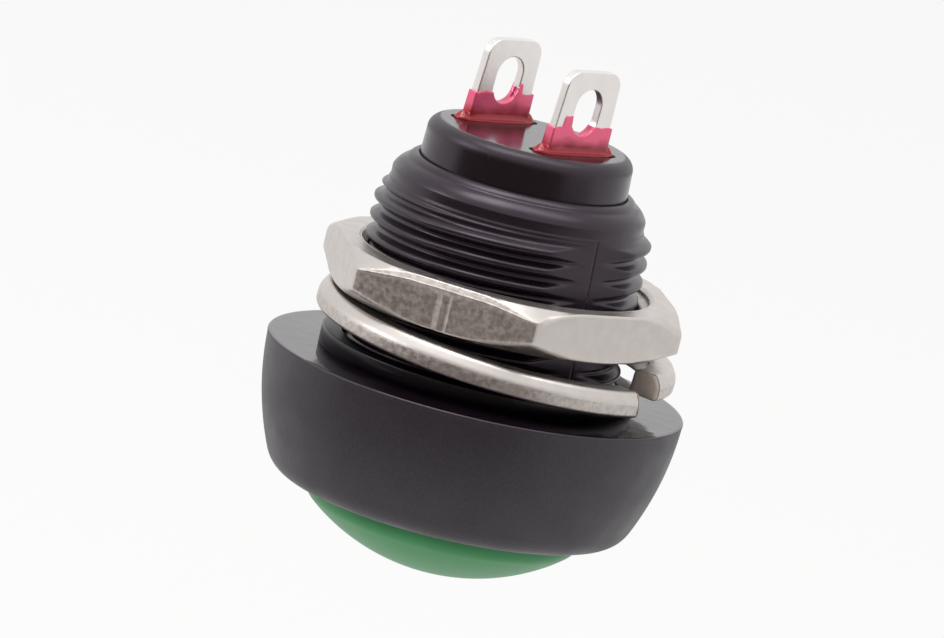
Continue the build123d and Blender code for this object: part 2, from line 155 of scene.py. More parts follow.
# Dark grey felt: plated faces mirror it as a deep brownish grey, and plastic hardly shows it.
felt = blank_material("dark_grey_felt")
tree = felt.node_tree
cloth = add(tree, "ShaderNodeBsdfDiffuse", {"Color": linear("8a807b")})
turned_share = add(tree, "ShaderNodeUVMap", uv_map="along")
along = add(tree, "ShaderNodeSeparateXYZ", {"Vector": turned_share})
open_share = add(
    tree,
    "ShaderNodeMapRange",
    {"Value": along, "From Min": 1 - CARD_FADE, "From Max": 1.0},
    interpolation_type="SMOOTHSTEP",
)
gone = add(tree, "ShaderNodeBsdfTransparent")
faded = add(tree, "ShaderNodeMixShader", {0: open_share, 1: cloth, 2: gone})
add(tree, "ShaderNodeOutputMaterial", {"Surface": faded})

# The card is a part of a cylinder; its UV map holds how far each point is from the card's middle.
share = np.linspace(-1, 1, 49)
bearing = CARD_START + (CARD_ENDS[:, None] - CARD_START) * (share + 1) / 2
height = CARD_HEIGHTS[:, None] + 0 * bearing
grid = np.stack([CARD_R * np.cos(bearing), CARD_R * np.sin(bearing), height], -1)
index = np.arange(bearing.size).reshape(bearing.shape)
quads = np.stack([index[:-1, :-1], index[:-1, 1:], index[1:, 1:], index[1:, :-1]], -1).reshape(-1, 4)
card = sheet("dark_card", grid, quads.tolist(), felt)
distance = np.abs(share + 0 * bearing).ravel()[quads.ravel()]
from_middle = np.stack([distance, 0 * distance], -1).ravel()
card.data.uv_layers.new(name="along").data.foreach_set("uv", from_middle)
card.visible_camera = False
card.visible_diffuse = False
card.visible_transmission = False
card.visible_shadow = False

world = bpy.data.worlds.new("white_tent")
scene.world = world
world.use_nodes = True
tree = world.node_tree
tree.nodes.clear()
direct = seen_directly(tree)
strength = add(tree, "ShaderNodeMapRange", {"Value": direct, "To Min": TENT_LEVEL, "To Max": 1.0})
tent = add(tree, "ShaderNodeBackground", {"Color": (1, 1, 1, 1), "Strength": strength})
add(tree, "ShaderNodeOutputWorld", {"Surface": tent})

for name, place, length, width, watts in (
    ("lamp_overhead", (0, -65, 420), 600, 200, 0.80),
    ("lamp_overhead_near", (-120, -70, 400), 240, 200, 0.32),
    ("lamp_left", (-420, -120, 160), 200, 200, 0.45),
):
    lamp = bpy.data.objects.new(name, bpy.data.lights.new(name, "AREA"))
    lamp.data.shape = "ELLIPSE"
    lamp.data.size = length * MM
    lamp.data.size_y = width * MM
    lamp.data.energy = watts
    aim = np.array(place) / np.linalg.norm(place)
    side = np.cross([0, 1, 0], aim)  # the lamp's length lies level, across the view
    side /= np.linalg.norm(side)
    stand(lamp, side, np.cross(aim, side), aim, place)
scene.view_settings.view_transform = "Standard"

# ------------------------------------------------------------------
# Bezel and bush. One moulding in black nylon: a round bezel with a grained side, a threaded bush
# behind its flat seating face, and a rear lip that is rolled in over the base while it is hot.
# The mould opens along the axis's two sides, where the thread ends in flats with a fine joint.
SEAT_R = 9.00
SIDE_CORNER = (7.88, -5.00)
SIDE_BOW = 0.245
NOSE_CORNER = (6.70, -5.77)
NOSE_BOW = 0.216
RIM_Z = -5.945
WELL_R = 6.01
WELL_FLOOR_Z = -1.90
THREAD_R = 5.92
THREAD_END_Z = 7.02
NECK_Z = 7.34
NECK_R = 5.50
NECK_TOP_Z = 7.48
SHOULDER_R = 5.45
SHOULDER_Z = 7.55
LIP_START_Z = 7.95
LIP_CREASE = (4.92, 8.51)
LIP_CORNER = (4.64, 8.77)
LIP_BOW = 0.07
THREAD_PITCH = 0.794
THREAD_DEPTH = 0.39
THREAD_CREST = 0.16  # share of the pitch
THREAD_ROOT = 0.16
CREST_Z = 4.57  # height of a crest on the +X side
PARTING = np.radians(311.5)
HALF_STEP = 0.03  # how much higher the thread stands in the mould's right half
FLAT_R = 5.50  # from the axis to the flat on each parting line
JOINT_DEPTH = 0.03  # the fine furrow that the mould's joint leaves
JOINT_WIDTH = 0.045
JOINT_LEAN = np.radians(0.55)  # how far it strays round the bush per millimetre
CUT_SOFTNESS = 0.012
PLUG_BORE_R = 4.49
PLUG_SEAT_R = 4.70
PLUG_SEAT_Z = (6.50, 8.15)
CHAMBER_R = 4.30
CHAMBER_FLOOR_Z = 1.70
GLAND_R = 2.81
GLAND_Z = (0.10, 1.20)
RING_SEAT_R = 3.40
STEM_BORE_R = 1.83


def bowed(start, end, bow, count):
    """A shallow arc from start to end, without its last point: the straight run plus an offset of
    bow times (1 - (2t - 1)^2) to the right of the way it goes."""
    share = np.linspace(0, 1, count, endpoint=False)[:, None]
    run = np.subtract(end, start)
    right_of_run = np.array([run[1], -run[0]]) / np.hypot(*run)
    return start + run * share + right_of_run * bow * (1 - (2 * share - 1) ** 2)


def eased(corners, ease, runs=0, steps=4):
    """Rounds the corners of a closed outline. Each corner is two values, and either may be an array
    with one for each angle. It turns into a circular arc, written as a rational curve from ease
    before it to ease after it, with one point more on each side that keeps the straight run flat.
    runs adds that many even points to each straight run. A corner with no ease stays one point."""
    shape = np.broadcast_shapes(*(np.shape(value) for corner in corners for value in corner))
    corners = [np.stack([np.broadcast_to(value, shape) for value in corner], -1) for corner in corners]
    corners = np.array(corners, float)
    ease = np.broadcast_to(ease, len(corners))
    runs = np.broadcast_to(runs, len(corners))
    lead_in, lead_out, arcs = [], [], []
    for i, here in enumerate(corners):
        back = corners[i - 1] - here
        ahead = corners[(i + 1) % len(corners)] - here
        back_length = np.linalg.norm(back, axis=-1, keepdims=True)
        ahead_length = np.linalg.norm(ahead, axis=-1, keepdims=True)
        shortest = np.minimum(back_length, ahead_length)
        reach = np.minimum(ease[i], 0.4 * shortest)
        back, ahead = back / back_length, ahead / ahead_length
        start, end = here + back * reach, here + ahead * reach
        weight = np.sqrt((1 - (back * ahead).sum(-1, keepdims=True)) / 2)
        t = np.linspace(0, 1, steps + 1).reshape((-1,) + (1,) * here.ndim)
        near_start, middle, near_end = (1 - t) ** 2, 2 * t * (1 - t) * weight, t**2
        arc = (near_start * start + middle * here + near_end * end) / (near_start + middle + near_end)
        arcs.append(arc if ease[i] else here[None])
        lead_in.append(here + back * np.minimum(2.2 * ease[i], 0.45 * back_length))
        lead_out.append(here + ahead * np.minimum(2.2 * ease[i], 0.45 * ahead_length))
    pieces = []
    for i, arc in enumerate(arcs):
        last, following = lead_out[i], lead_in[(i + 1) % len(arcs)]
        t = np.linspace(0, 1, runs[i] + 2)[1:-1].reshape((-1,) + (1,) * last.ndim)
        pieces += [lead_in[i][None], arc, last[None]] if ease[i] else [arc]
        pieces.append(last + (following - last) * t)
    return np.concatenate(pieces)


def turned(outline, angles):
    """An outline (radius, height) carried round the Z axis: x = r cos a, y = r sin a, z."""
    r, z = outline[:, 0, None], outline[:, 1, None]
    return np.stack([r * np.cos(angles), r * np.sin(angles), z + 0 * angles], -1)


def whole_turn(count, extra=()):
    """count even angles of a whole turn, with any extra ones among them."""
    even = np.linspace(0, 2 * np.pi, count, endpoint=False)
    return np.unique(np.round(np.concatenate([even, np.mod(extra, 2 * np.pi)]), 7))


def skin(name, grid, materials, body, replaced=(), choice=None, endless=True):
    """A closed mesh through a grid of points whose rows close on each other. Its columns do too,
    unless it is not endless and begins and ends in a point. Each point is joined to its next
    neighbours by a quad, poles and seams are merged, and the faces are turned outward by the
    sign of the volume they enclose. choice numbers the material of each row, or row and column."""
    rows, columns = grid.shape[:2]
    index = np.arange(rows * columns).reshape(rows, columns)
    below, beside = np.roll(index, -1, 0), np.roll(index, -1, 1)
    quads = np.stack([index, beside, np.roll(below, -1, 1), below], -1)
    quads = quads[:, : columns if endless else columns - 1].reshape(-1, 4)
    points = grid.reshape(-1, 3)
    a, b, c, d = (points[quads[:, k]] for k in range(4))
    volume = (a * np.cross(b, c)).sum() + (a * np.cross(c, d)).sum()
    if volume < 0:
        quads = quads[:, ::-1]
    mesh = bpy.data.meshes.new(name)
    mesh.from_pydata((points * MM).tolist(), [], quads.tolist())
    for material in materials:
        mesh.materials.append(material)
    if choice is not None:
        chosen = np.broadcast_to(np.asarray(choice, int), (rows, len(quads) // rows))
        mesh.polygons.foreach_set("material_index", chosen.ravel())
    build = bmesh.new()
    build.from_mesh(mesh)
    bmesh.ops.remove_doubles(build, verts=build.verts, dist=1e-7)
    build.to_mesh(mesh)
    build.free()
    mesh.polygons.foreach_set("use_smooth", np.ones(len(mesh.polygons), bool))
    piece = bpy.data.objects.new(name, mesh)
    scene.collection.objects.link(piece)
    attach(piece, body)
    if replaced:
        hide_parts(*replaced)
    return piece


def smoothstep(x):
    """0 below 0, 1 above 1, and 3x^2 - 2x^3 between."""
    x = np.clip(x, 0, 1)
    return x * x * (3 - 2 * x)


def from_parting(angle):
    """How far an angle is from the nearer of the mould's two parting lines."""
    return np.abs(np.mod(angle - PARTING + np.pi / 2, np.pi) - np.pi / 2)


def groove(angle, height):
    """How deep the right-hand thread is cut, from 0 on a crest to 1 in the root. The helix climbs a
    pitch each turn, and its flank is half straight and half an S-curve."""
    turns = (height - CREST_Z) / THREAD_PITCH - angle / (2 * np.pi)
    from_crest = np.abs(turns - np.round(turns))
    flank = 0.5 - (THREAD_CREST + THREAD_ROOT) / 2
    down = np.clip((from_crest - THREAD_CREST / 2) / flank, 0, 1)
    return (down + smoothstep(down)) / 2


def bush_radius(angle, height):
    """The threaded bush: crest radius less the groove, cut off by the flat of the nearer parting
    line, which is FLAT_R / cos(angle from the line), by a soft minimum -s log(e^(-a/s) + e^(-b/s)).
    The joint is a narrow bell curve's furrow, and the thread runs out on a short neck."""
    right_half = np.cos(angle - PARTING - np.pi / 2) > 0
    cut = groove(angle, height - HALF_STEP * right_half)
    away = from_parting(angle)
    threaded = THREAD_R - THREAD_DEPTH * cut
    flat = FLAT_R / np.maximum(np.cos(away), 0.1) + 0 * height
    radius = -CUT_SOFTNESS * np.logaddexp(-threaded / CUT_SOFTNESS, -flat / CUT_SOFTNESS)
    beside = from_parting(angle - JOINT_LEAN * (SHOULDER_Z - height)) * FLAT_R
    radius = radius - JOINT_DEPTH * np.exp(-((beside / JOINT_WIDTH) ** 2))
    neck_heights = (THREAD_END_Z, NECK_Z, NECK_TOP_Z, SHOULDER_Z)
    neck = np.interp(height, neck_heights, (THREAD_R, NECK_R, NECK_R, SHOULDER_R))
    return np.minimum(radius, neck)


def patterned_material(name):
    """A new material, its node tree, and the piece's own coordinates in it."""
    material = blank_material(name)
    place = add(material.node_tree, "ShaderNodeTexCoord", output="Object")
    return material, material.node_tree, place


def flecked_material(name, colour, rough, relief=None, surface=None):
    """A material drawn with noise. colour and rough each hold a pattern, the part of its range that
    counts, and the two colours or roughnesses it runs between; relief holds a pattern, its strength
    and its height in mm. A pattern is the size of its flecks across and along the axis in mm, the
    noise's detail and its harshness."""
    material, tree, place = patterned_material(name)
    noises = []
    for (wide, long, detail, harsh), *_ in (colour, rough, relief or colour):
        scale = (1 / (wide * MM), 1 / (wide * MM), 1 / (long * MM))
        scaled = add(tree, "ShaderNodeMapping", {"Vector": place, "Scale": scale})
        noise = {"Vector": scaled, "Scale": 1.0, "Detail": detail, "Roughness": harsh}
        noises.append(add(tree, "ShaderNodeTexNoise", noise))
    share = {"Value": noises[0], "From Min": colour[1], "From Max": colour[2]}
    shades = {0: add(tree, "ShaderNodeMapRange", share), 6: linear(colour[3]), 7: linear(colour[4])}
    tint = add(tree, "ShaderNodeMix", shades, data_type="RGBA", output=2)
    levels = ("From Min", "From Max", "To Min", "To Max")
    dull = add(tree, "ShaderNodeMapRange", {"Value": noises[1], **dict(zip(levels, rough[1:]))})
    feeds = {"Base Color": tint, "Roughness": dull, **(surface or {})}
    if relief:
        bump = {"Height": noises[2], "Strength": relief[1], "Distance": relief[2] * MM}
        feeds["Normal"] = add(tree, "ShaderNodeBump", bump)
    shell = add(tree, "ShaderNodeBsdfPrincipled", feeds)
    add(tree, "ShaderNodeOutputMaterial", {"Surface": shell})
    return material


# Moulded nylon with glass fibre, black. The bezel's side comes from a spark-eroded mould: an even
# matt grain about a tenth of a millimetre across, a little lighter where the grain stands up.
BLACK_SHEEN = "ffebfd"  # dyed black, it has a faint purple sheen
GRAIN = (0.11, 0.11, 3.0, 0.6)
HAZE = (1.6, 1.6, 2.0, 0.5)
grained_nylon = flecked_material(
    "grained_black_nylon_spark_eroded_mould",
    colour=(GRAIN, 0.3, 0.7, "1c141e", "2a222c"),
    rough=(HAZE, 0.3, 0.7, 0.40, 0.50),
    relief=(GRAIN, 0.35, 0.03),
    surface={"IOR": 1.53},
)

# The same nylon from the mould's polished faces: dark and half glossy, with faint waves where it
# shrank and finer streaks round the axis where it flowed. The seating face is lapped, and mirrors.
WAVE = 0.9
STREAK = 0.25
smooth_nylon, tree, place = patterned_material("smooth_black_nylon_polished_mould")
wave = add(tree, "ShaderNodeTexNoise", {"Vector": place, "Scale": 1 / (WAVE * MM), "Detail": 1.0})
flow = add(tree, "ShaderNodeMapping", {"Vector": place, "Scale": (0.15, 0.15, 1.0)})
streak = add(
    tree, "ShaderNodeTexNoise", {"Vector": flow, "Scale": 1 / (STREAK * MM), "Detail": 2.0}
)
satin = add(
    tree,
    "ShaderNodeMapRange",
    {"Value": streak, "From Min": 0.3, "From Max": 0.7, "To Min": 0.26, "To Max": 0.36},
)
level_z = add(tree, "ShaderNodeSeparateXYZ", {"Vector": place}, output="Z")
above_seat = add(
    tree, "ShaderNodeMapRange", {"Value": level_z, "From Min": 0.03 * MM, "From Max": 0.3 * MM}
)
sheen_spread = add(
    tree, "ShaderNodeMix", {"Factor": above_seat, 2: 0.06, 3: satin}, data_type="FLOAT"
)
height = add(tree, "ShaderNodeMath", {0: streak, 1: 0.3, 2: wave}, operation="MULTIPLY_ADD")
bumps = add(tree, "ShaderNodeBump", {"Height": height, "Strength": 0.2, "Distance": 0.04 * MM})
nylon = add(
    tree,
    "ShaderNodeBsdfPrincipled",
    {
        "Base Color": linear("140c14"),
        "Roughness": sheen_spread,
        "IOR": 1.53,
        "Specular Tint": linear(BLACK_SHEEN),
        "Normal": bumps,
    },
)
add(tree, "ShaderNodeOutputMaterial", {"Surface": nylon})

side = np.concatenate(
    [
        bowed(NOSE_CORNER, SIDE_CORNER, NOSE_BOW, 14),
        bowed(SIDE_CORNER, (SEAT_R - 0.022, -0.10), SIDE_BOW, 44),
    ]
)
thread_rows = np.arange(0.02, SHOULDER_Z - 0.02, THREAD_PITCH / 16)
thread_rows = np.stack([np.full(len(thread_rows), THREAD_R), thread_rows], -1)
lip = np.concatenate(
    [
        bowed((SHOULDER_R, LIP_START_Z), LIP_CREASE, LIP_BOW, 12)[1:],
        bowed(LIP_CREASE, LIP_CORNER, LIP_BOW / 2, 8),
    ]
)
# Each corner is a radius, a height and the length of its rounding.
outline = np.concatenate(
    [
        np.pad(side[1:], ((0, 0), (0, 1))),
        [(SEAT_R, 0.0, 0.10), (THREAD_R + 0.12, 0.0, 0.0)],
        np.pad(thread_rows, ((0, 0), (0, 1))),
        [(SHOULDER_R, SHOULDER_Z, 0.0), (SHOULDER_R, SHOULDER_Z + 0.03, 0.0)],
        [(SHOULDER_R, LIP_START_Z, 0.12)],
        np.pad(lip, ((0, 0), (0, 1))),
        [(*LIP_CORNER, 0.05), (PLUG_BORE_R, LIP_CORNER[1], 0.05), (PLUG_BORE_R, PLUG_SEAT_Z[1], 0.03)],
        [(PLUG_SEAT_R, PLUG_SEAT_Z[1], 0.03), (PLUG_SEAT_R, PLUG_SEAT_Z[0], 0.03)],
        [(CHAMBER_R, PLUG_SEAT_Z[0], 0.03), (CHAMBER_R, CHAMBER_FLOOR_Z, 0.05)],
        [(RING_SEAT_R, CHAMBER_FLOOR_Z, 0.05), (RING_SEAT_R, GLAND_Z[1], 0.03)],
        [(GLAND_R, GLAND_Z[1], 0.03), (GLAND_R, GLAND_Z[0], 0.03), (STEM_BORE_R, GLAND_Z[0], 0.03)],
        [(STEM_BORE_R, WELL_FLOOR_Z, 0.05), (WELL_R, WELL_FLOOR_Z, 0.05)],
        [(WELL_R, RIM_Z + 0.10, 0.03), (WELL_R + 0.10, RIM_Z, 0.05), (*NOSE_CORNER, 0.25)],
    ]
)
outline = eased(outline[:, :2], outline[:, 2])
fine = np.radians(np.linspace(-1.0, 5.0, 25))
angles = whole_turn(204, np.concatenate([PARTING + fine, PARTING + np.pi + fine]))
grid = turned(outline, angles)
on_bush = (np.abs(outline[:, 0] - THREAD_R) < 0.01) & (outline[:, 1] > 0.01)
radius = bush_radius(angles[None, :], outline[on_bush, 1, None])
grid[on_bush, :, 0] = radius * np.cos(angles)
grid[on_bush, :, 1] = radius * np.sin(angles)
grained = (outline[:, 1] < -0.03) & (outline[:, 0] > WELL_R + 0.05)
skin(
    "bezel_and_bush",
    grid,
    [smooth_nylon, grained_nylon],
    "bushing",
    ["bezel_bushing"],
    choice=grained[:, None],
)

# ------------------------------------------------------------------
# Button cap. A green domed cap moulded in ABS, with a straight skirt that runs in the bezel and a
# socket inside that is pressed onto the stem.
CAP_R = 5.91
DOME_R = 8.907
DOME_APEX_Z = -8.63
CAP_WALL = 1.15
SKIRT_END_Z = -3.90
SKIRT_EASE = 0.30
SOCKET_R = 2.40
SOCKET_BORE_R = 1.52
SOCKET_END_Z = -3.75
SOCKET_ROOF_Z = -5.87
INNER_EASE = 0.08


def dome(radius, outer_r):
    """Heights at these radii on a sphere about the dome's centre: z = centre - sqrt(R^2 - r^2)."""
    return np.stack([radius, DOME_APEX_Z + DOME_R - np.sqrt(outer_r**2 - radius**2)], -1)


# Moulded ABS, mid green, satin: nearly smooth, with a soft wide highlight and very faint clouding.
# Its grain is drawn coarser than the mould's polish, so that it shows.
CLOUD = (1.2, 1.2, 3.0, 0.5)
FINE_GRAIN = (0.08, 0.08, 2.0, 0.5)
green_abs = flecked_material(
    "green_abs_satin_moulded",
    colour=(CLOUD, 0, 1, "357f4a", "3e8a54"),
    rough=(CLOUD, 0, 1, 0.42, 0.42),
    relief=(FINE_GRAIN, 0.12, 0.02),
    surface={"IOR": 1.52, "Specular IOR Level": 0.32},
)

dome_r = CAP_R - 2 * SKIRT_EASE
outside = dome(dome_r * np.sin(np.linspace(0, np.pi / 2, 60)), DOME_R)
inner_r = CAP_R - CAP_WALL
inside = dome(np.linspace(inner_r, SOCKET_R, 24), DOME_R - CAP_WALL)
outline = np.concatenate(
    [
        outside,
        dome(np.array([CAP_R]), DOME_R),
        [(CAP_R, SKIRT_END_Z), (inner_r, SKIRT_END_Z)],
        inside,
        [(SOCKET_R, SOCKET_END_Z), (SOCKET_BORE_R, SOCKET_END_Z), (SOCKET_BORE_R, SOCKET_ROOF_Z)],
        [(0.0, SOCKET_ROOF_Z)],
    ]
)
ease = np.zeros(len(outline))
ease[len(outside)] = SKIRT_EASE
ease[len(outside) + 1 : len(outside) + 3] = INNER_EASE
ease[-4:-1] = INNER_EASE
outline = eased(outline, ease)
skin(
    "green_cap", turned(outline, whole_turn(256)), [green_abs], "button", ["button_cap"]
)

# ------------------------------------------------------------------
# Panel gasket. A flat ring cut from black rubber sheet, loose on the bush, that lies on the
# seating face and is squeezed between it and the panel.
GASKET_INNER_R = 5.98
GASKET_OUTER_R = 6.80
GASKET_T = 0.72
GASKET_EASE = (0.0, 0.0, 0.07, 0.05)

# Nitrile rubber sheet, black: smooth with a low sheen and a fine dusty mottle.
DUST = (0.18, 0.18, 4.0, 0.5)
nitrile = flecked_material(
    "black_nitrile_rubber_sheet",
    colour=(DUST, 0, 1, "0c080d", "151015"),
    rough=(DUST, 0, 1, 0.30, 0.30),
    relief=(DUST, 0.2, 0.02),
    surface={"IOR": 1.45},
)

outline = eased(
    [
        (GASKET_INNER_R, 0.0),
        (GASKET_OUTER_R, 0.0),
        (GASKET_OUTER_R, GASKET_T),
        (GASKET_INNER_R, GASKET_T),
    ],
    GASKET_EASE,
)
skin(
    "rubber_ring",
    turned(outline, whole_turn(256)),
    [nitrile],
    "bushing",
    ["panel_gasket"],
)

# ------------------------------------------------------------------
# Split spring washer. One left-hand turn of steel strip with rolled, rounded edges, cut square at
# its ends and nickel plated in a barrel. It lies a little aslant, pushed against the thread.
WASHER_MIDDLE_R = 7.11
WASHER_WIDTH = 1.30
WASHER_T = 1.08
WASHER_BEVEL = (0.28, 0.46)  # its width and height on the upper outer edge
WASHER_SHIFT = 0.46
WASHER_RISE = 0.70
WASHER_START = np.radians(328)
WASHER_TURN = np.radians(352.6)
WASHER_TILT = np.radians(2.8)
WASHER_LOW_Z = 0.60
END_EASE = 0.25

# Nickel plate from the barrel, over rolled or turned metal: bright, slightly warm and satin, with
# soft dents where pieces knocked together.
KNOCK = (0.45, 0.45, 2.0, 0.5)
nickel = flecked_material(
    "nickel_plate_barrel_plated",
    colour=(KNOCK, 0, 1, "cfc9c5", "c3bcb7"),
    rough=(KNOCK, 0.35, 0.7, 0.34, 0.42),
    relief=(KNOCK, 0.2, 0.03),
    surface={"Metallic": 1.0},
)

# The same plate over a face sheared or drawn in a die, which the plating doesn't level: a mottle
# of brownish and pale patches a few tenths of a millimetre across, with small pits.
MOTTLE = 0.24
PIT = 0.11
torn_nickel, tree, place = patterned_material("nickel_plate_over_die_sheared_metal")
mottle = add(
    tree,
    "ShaderNodeTexNoise",
    {"Vector": place, "Scale": 1 / (MOTTLE * MM), "Detail": 3.0, "Roughness": 0.6},
)
pits = add(tree, "ShaderNodeTexNoise", {"Vector": place, "Scale": 1 / (PIT * MM), "Detail": 2.0})
patch = add(tree, "ShaderNodeMapRange", {"Value": mottle, "From Min": 0.35, "From Max": 0.65})
shades = {0: patch, 6: linear("b3aaa4"), 7: linear("cec7c2")}
colour = add(tree, "ShaderNodeMix", shades, data_type="RGBA", output=2)
dull = add(tree, "ShaderNodeMapRange", {"Value": patch, "To Min": 0.38, "To Max": 0.48})
height = add(tree, "ShaderNodeMath", {0: pits, 1: 0.3, 2: mottle}, operation="MULTIPLY_ADD")
bumps = add(tree, "ShaderNodeBump", {"Height": height, "Strength": 0.6, "Distance": 0.035 * MM})
plate = add(
    tree,
    "ShaderNodeBsdfPrincipled",
    {"Base Color": colour, "Metallic": 1.0, "Roughness": dull, "Normal": bumps},
)
add(tree, "ShaderNodeOutputMaterial", {"Surface": plate})

# The same plate over a cropped end: dull and brownish, with coarse tear marks.
TEAR = (0.16, 0.16, 2.0, 0.5)
cropped_nickel = flecked_material(
    "nickel_plate_over_cropped_metal",
    colour=(TEAR, 0, 1, "a99a92", "c2b5ad"),
    rough=(TEAR, 0, 1, 0.62, 0.62),
    relief=(TEAR, 0.4, 0.03),
    surface={"Metallic": 0.4},
)

half_width, half_height = WASHER_WIDTH / 2, WASHER_T / 2
section = eased(
    [
        (-half_width, -half_height),
        (half_width, -half_height),
        (half_width, half_height - WASHER_BEVEL[1]),
        (half_width - WASHER_BEVEL[0], half_height),
        (-half_width, half_height),
    ],
    [0.15, 0.18, 0.16, 0.16, 0.25],
    runs=3,
    steps=8,
)
# Along the strip, the section grows from a point at each end, over a small rounding, to its size.
end_turns = np.array([0, 0, 0.08, 0.3, 0.6, 1]) * END_EASE / WASHER_MIDDLE_R
end_sizes = np.array([0, 0.75, 0.9, 0.96, 0.99, 1])
swept = np.concatenate(
    [end_turns, np.linspace(0.02, WASHER_TURN - 0.02, 300), (WASHER_TURN - end_turns)[::-1]]
)
sizes = np.concatenate([end_sizes, np.ones(300), end_sizes[::-1]])
radial = WASHER_MIDDLE_R + section[:, 0, None] * sizes
lift = section[:, 1, None] * sizes + WASHER_RISE * swept / (2 * np.pi)
angle = WASHER_START - swept
x, y, z = radial * np.cos(angle), radial * np.sin(angle), lift
lowered = WASHER_MIDDLE_R * np.cos(WASHER_START) * np.tan(WASHER_TILT)
ring = np.stack(
    [
        x * np.cos(WASHER_TILT) + z * np.sin(WASHER_TILT) + WASHER_SHIFT,
        y,
        z * np.cos(WASHER_TILT) - x * np.sin(WASHER_TILT) + WASHER_LOW_Z + half_height + lowered,
    ],
    -1,
)
# Its outer edge was sheared, between its roundings, and its two ends were cropped.
sheared = (section[:, 0] > half_width - 0.02) & (np.roll(section[:, 0], -1) > half_width - 0.02)
cropped = np.arange(len(swept) - 1)
cropped = (cropped < 4) | (cropped > len(swept) - 6)
choice = np.where(cropped, 2, sheared[:, None])
skin(
    "spring_washer",
    ring,
    [nickel, torn_nickel, cropped_nickel],
    "washer",
    ["lock_washer"],
    choice=choice,
    endless=False,
)

# ------------------------------------------------------------------
# Hexagon nut. Blanked from brass, turned and chamfered on both faces, tapped right through and
# nickel plated with the washer. The die left the upper edge of one flat leaning in above a fine
# burr, with a double score down the middle of that flat.
NUT_FLAT_R = 7.10
NUT_Z = 2.68
NUT_TOP_Z = 4.78
NUT_SHIFT = 0.22
NUT_CORNER = np.radians(42.15)
NUT_BORE_R = 6.18
NUT_BORE_CHAMFER = 0.10
NUT_THREAD_R = 5.86
FRONT_LAND_R = 7.05
REAR_LAND_R = 7.31
CHAMFER_SLOPE = np.tan(np.radians(30))
CORNER_SOFTNESS = 0.07
LEAN = np.tan(np.radians(24))
BURR = 0.03
TOOL_LINE = 0.04
SCORE_ANGLE = np.radians(252.15)
SCORE_ACROSS = (-0.80, -0.44, -0.12, 0.11, 0.30)  # from the middle of the flat, to the right
SCORE_DEPTHS = (0.0, 0.15, 0.02, 0.11, 0.0)

# Angles crowd towards the hexagon's corners and the score, where the outline turns quickly.
sweep = np.radians(30) * np.sin(np.linspace(-np.pi / 2, np.pi / 2, 49))
middles = NUT_CORNER + np.radians(30 + 60 * np.arange(6))
score = np.arcsin(np.linspace(-0.84, 0.34, 60) / NUT_FLAT_R)
angles = np.concatenate([(middles[:, None] + sweep).ravel(), SCORE_ANGLE + score])
angles = np.unique(np.round(np.mod(angles, 2 * np.pi), 6))
# Radius of the six flats: the soft minimum of the distances to the three that face this way.
facing = np.cos(angles[:, None] - middles)
flats = np.where(facing > 0.3, NUT_FLAT_R / np.maximum(facing, 0.3), 1e3)
hexagon = -CORNER_SOFTNESS * np.log(np.exp(-flats / CORNER_SOFTNESS).sum(-1))
beside = NUT_FLAT_R * np.tan(np.clip(angles - SCORE_ANGLE, -0.5, 0.5))
score_cut = np.interp(beside, SCORE_ACROSS, SCORE_DEPTHS)
away = np.abs(np.mod(angles - SCORE_ANGLE + np.pi, 2 * np.pi) - np.pi)
scored = smoothstep((np.radians(30.5) - away) / np.radians(3))
front_drop = np.maximum(hexagon - FRONT_LAND_R, 0.0) * CHAMFER_SLOPE
rear_drop = np.maximum(hexagon - REAR_LAND_R, 0.0) * CHAMFER_SLOPE
# The burr runs halfway between the edge and the corners' level. Off the worn flat, where it has no
# height, its line is kept well down.
burr_z = NUT_TOP_Z - (rear_drop.max() + rear_drop) / 2 - 0.05
burr_z = burr_z - 0.7 * smoothstep((away - np.radians(30)) / np.radians(5))
edge_z = NUT_TOP_Z - rear_drop


def nut_thread(angle, height):
    """The tapped bore: its ridges stand in the bush's grooves, narrower than them by squaring the
    groove's depth, and fade out into the two chamfers."""
    ridge = (NUT_BORE_R - NUT_THREAD_R) * groove(angle, height - HALF_STEP / 2) ** 2
    inside = np.minimum(height - NUT_Z, NUT_TOP_Z - height)
    return NUT_BORE_R - ridge * smoothstep((inside - 0.1) / 0.25)


mouth_r = NUT_BORE_R + NUT_BORE_CHAMFER
section = eased(
    [
        (mouth_r, NUT_Z),
        (np.minimum(FRONT_LAND_R, hexagon - 0.25), NUT_Z),
        (hexagon - score_cut, NUT_Z + front_drop),
        (hexagon - score_cut, burr_z - 0.05),
        (hexagon + BURR * scored, burr_z),
        (hexagon - 0.005 * scored, burr_z + 0.03),
        (hexagon - LEAN * scored * (edge_z - burr_z), edge_z),
        (np.minimum(REAR_LAND_R, hexagon - 0.28), NUT_TOP_Z),
        (mouth_r + 2 * TOOL_LINE, NUT_TOP_Z),
        (mouth_r + TOOL_LINE, NUT_TOP_Z - 0.04),
        (mouth_r, NUT_TOP_Z - 0.01),
        (NUT_BORE_R, NUT_TOP_Z - NUT_BORE_CHAMFER),
        (NUT_BORE_R, NUT_Z + NUT_BORE_CHAMFER),
    ],
    [0.03, 0.04, 0.20, 0, 0, 0, 0.37, 0.06, 0.02, 0.02, 0.02, 0.02, 0.02],
    runs=[2, 0, 4, 0, 0, 3, 0, 2, 0, 0, 0, 34, 0],
    steps=6,
)
radius, height = section[..., 0], section[..., 1]
radius = np.where(radius < NUT_BORE_R + 0.001, nut_thread(angles, height), radius)
grid = np.stack([radius * np.cos(angles) + NUT_SHIFT, radius * np.sin(angles), height], -1)
